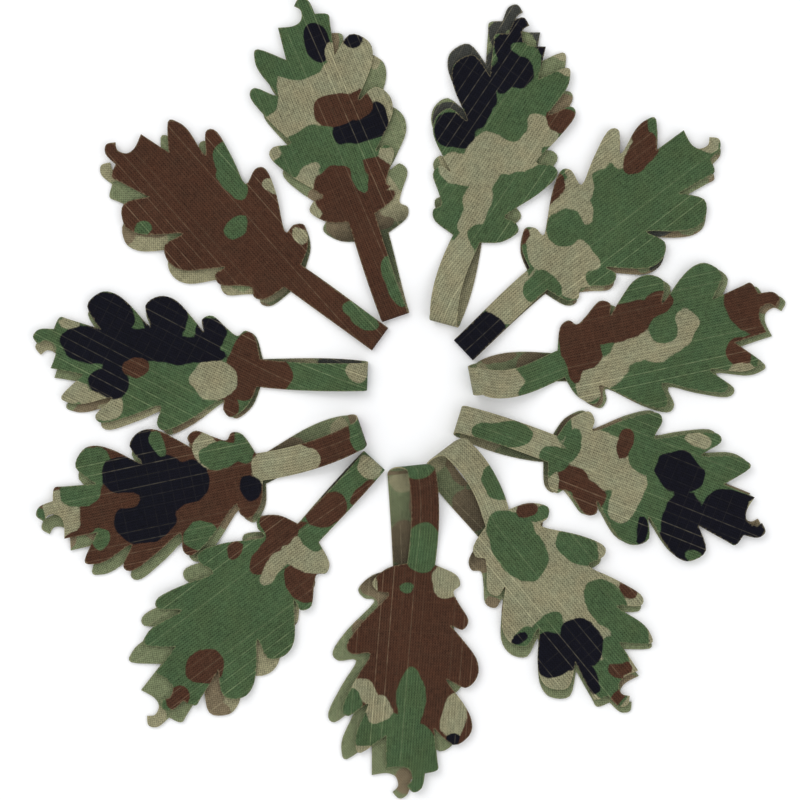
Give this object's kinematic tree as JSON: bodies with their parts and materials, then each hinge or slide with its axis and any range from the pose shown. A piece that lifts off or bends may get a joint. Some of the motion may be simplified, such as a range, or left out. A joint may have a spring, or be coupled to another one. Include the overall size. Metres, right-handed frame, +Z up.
{
  "type": "ghillie leaf strip set",
  "caption": "Ring of folded camouflage cloth strips, each a narrow strap with an oak-leaf blade at both ends, laid out flat as garnish for a ghillie suit.",
  "frame": {"origin": "middle of the set's box in plan, on the surface it lies on", "axes": "+Z up off the surface, +Y along the ring's longer side, +X to its right"},
  "size_m": [0.2856, 0.3038, 0.0085],
  "materials": {
    "camouflage_cloth": "matte printed ripstop cotton blend in green, brown, khaki and black, paler on its back"
  },
  "bodies": {
    "strip_01_lower": {"strip_01_lower_leaf": "camouflage_cloth", "strip_01_fold": "camouflage_cloth"},
    "strip_01_upper": {"strip_01_upper_leaf": "camouflage_cloth"},
    "strip_02_lower": {"strip_02_lower_leaf": "camouflage_cloth", "strip_02_fold": "camouflage_cloth"},
    "strip_02_upper": {"strip_02_upper_leaf": "camouflage_cloth"},
    "strip_03_lower": {"strip_03_lower_leaf": "camouflage_cloth", "strip_03_fold": "camouflage_cloth"},
    "strip_03_upper": {"strip_03_upper_leaf": "camouflage_cloth"},
    "strip_04_lower": {"strip_04_lower_leaf": "camouflage_cloth", "strip_04_fold": "camouflage_cloth"},
    "strip_04_upper": {"strip_04_upper_leaf": "camouflage_cloth"},
    "strip_05_lower": {"strip_05_lower_leaf": "camouflage_cloth", "strip_05_fold": "camouflage_cloth"},
    "strip_05_upper": {"strip_05_upper_leaf": "camouflage_cloth"},
    "strip_06_lower": {"strip_06_lower_leaf": "camouflage_cloth", "strip_06_fold": "camouflage_cloth"},
    "strip_06_upper": {"strip_06_upper_leaf": "camouflage_cloth"},
    "strip_07_lower": {"strip_07_lower_leaf": "camouflage_cloth", "strip_07_fold": "camouflage_cloth"},
    "strip_07_upper": {"strip_07_upper_leaf": "camouflage_cloth"},
    "strip_08_lower": {"strip_08_lower_leaf": "camouflage_cloth", "strip_08_fold": "camouflage_cloth"},
    "strip_08_upper": {"strip_08_upper_leaf": "camouflage_cloth"},
    "strip_09_lower": {"strip_09_lower_leaf": "camouflage_cloth", "strip_09_fold": "camouflage_cloth"},
    "strip_09_upper": {"strip_09_upper_leaf": "camouflage_cloth"},
    "strip_10_lower": {"strip_10_lower_leaf": "camouflage_cloth", "strip_10_fold": "camouflage_cloth"},
    "strip_10_upper": {"strip_10_upper_leaf": "camouflage_cloth"},
    "strip_11_lower": {"strip_11_lower_leaf": "camouflage_cloth", "strip_11_fold": "camouflage_cloth"},
    "strip_11_upper": {"strip_11_upper_leaf": "camouflage_cloth"}
  },
  "joints": [
    {"name": "strip_01_pull_out", "type": "slide", "parent": "strip_07_lower", "child": "strip_01_lower", "axis": [-0.3223, 0.9466, 0], "range_m": [0, 0.2]},
    {"name": "strip_01_unfold", "type": "hinge", "parent": "strip_01_lower", "child": "strip_01_upper", "pos_m": [-0.00505, 0.0303, 0.0016], "axis": [0.9466, 0.3223, 0], "range_deg": [0, 110], "deforming": ["strip_01_fold"]},
    {"name": "strip_02_pull_out", "type": "slide", "parent": "strip_07_lower", "child": "strip_02_lower", "axis": [0.2588, 0.9659, 0], "range_m": [0, 0.2]},
    {"name": "strip_02_unfold", "type": "hinge", "parent": "strip_02_lower", "child": "strip_02_upper", "pos_m": [0.0127, 0.02713, 0.0027], "axis": [0.9659, -0.2588, 0], "range_deg": [0, 165], "deforming": ["strip_02_fold"]},
    {"name": "strip_03_pull_out", "type": "slide", "parent": "strip_07_lower", "child": "strip_03_lower", "axis": [0.7254, 0.6884, 0], "range_m": [0, 0.2]},
    {"name": "strip_03_unfold", "type": "hinge", "parent": "strip_03_lower", "child": "strip_03_upper", "pos_m": [0.02009, 0.01804, 0.0015], "axis": [0.6884, -0.7254, 0], "range_deg": [0, 165], "deforming": ["strip_03_fold"]},
    {"name": "strip_04_pull_out", "type": "slide", "parent": "strip_07_lower", "child": "strip_04_lower", "axis": [0.982, 0.1891, 0], "range_m": [0, 0.2]},
    {"name": "strip_04_unfold", "type": "hinge", "parent": "strip_04_lower", "child": "strip_04_upper", "pos_m": [0.02085, 0.00616, 0.00425], "axis": [0.1891, -0.982, 0], "range_deg": [0, 165], "deforming": ["strip_04_fold"]},
    {"name": "strip_05_pull_out", "type": "slide", "parent": "strip_07_lower", "child": "strip_05_lower", "axis": [0.9542, -0.299, 0], "range_m": [0, 0.2]},
    {"name": "strip_05_unfold", "type": "hinge", "parent": "strip_05_lower", "child": "strip_05_upper", "pos_m": [0.01684, -0.00739, 0.0031], "axis": [-0.299, -0.9542, 0], "range_deg": [0, 165], "deforming": ["strip_05_fold"]},
    {"name": "strip_06_pull_out", "type": "slide", "parent": "strip_07_lower", "child": "strip_06_lower", "axis": [0.606, -0.7955, 0], "range_m": [0, 0.2]},
    {"name": "strip_06_unfold", "type": "hinge", "parent": "strip_06_lower", "child": "strip_06_upper", "pos_m": [0.01176, -0.01718, 0.00425], "axis": [-0.7955, -0.606, 0], "range_deg": [0, 165], "deforming": ["strip_06_fold"]},
    {"name": "strip_07_unfold", "type": "hinge", "parent": "strip_07_lower", "child": "strip_07_upper", "pos_m": [0.00032, -0.0236, 0.0034], "axis": [-0.9945, -0.1045, 0], "range_deg": [0, 165], "deforming": ["strip_07_fold"]},
    {"name": "strip_08_pull_out", "type": "slide", "parent": "strip_07_lower", "child": "strip_08_lower", "axis": [-0.6743, -0.7385, 0], "range_m": [0, 0.2]},
    {"name": "strip_08_unfold", "type": "hinge", "parent": "strip_08_lower", "child": "strip_08_upper", "pos_m": [-0.01296, -0.02298, 0.0016], "axis": [-0.7385, 0.6743, 0], "range_deg": [0, 165], "deforming": ["strip_08_fold"]},
    {"name": "strip_09_pull_out", "type": "slide", "parent": "strip_07_lower", "child": "strip_09_lower", "axis": [-0.9444, -0.3289, 0], "range_m": [0, 0.2]},
    {"name": "strip_09_unfold", "type": "hinge", "parent": "strip_09_lower", "child": "strip_09_upper", "pos_m": [-0.01564, -0.01152, 0.00425], "axis": [-0.3289, 0.9444, 0], "range_deg": [0, 165], "deforming": ["strip_09_fold"]},
    {"name": "strip_10_pull_out", "type": "slide", "parent": "strip_07_lower", "child": "strip_10_lower", "axis": [-0.9995, 0.0314, 0], "range_m": [0, 0.2]},
    {"name": "strip_10_unfold", "type": "hinge", "parent": "strip_10_lower", "child": "strip_10_upper", "pos_m": [-0.01476, 0.00843, 0.0025], "axis": [0.0314, 0.9995, 0], "range_deg": [0, 165], "deforming": ["strip_10_fold"]},
    {"name": "strip_11_pull_out", "type": "slide", "parent": "strip_07_lower", "child": "strip_11_lower", "axis": [-0.809, 0.5878, 0], "range_m": [0, 0.2]},
    {"name": "strip_11_unfold", "type": "hinge", "parent": "strip_11_lower", "child": "strip_11_upper", "pos_m": [-0.01076, 0.02228, 0.0015], "axis": [0.5878, 0.809, 0], "range_deg": [0, 165], "deforming": ["strip_11_fold"]}
  ]
}
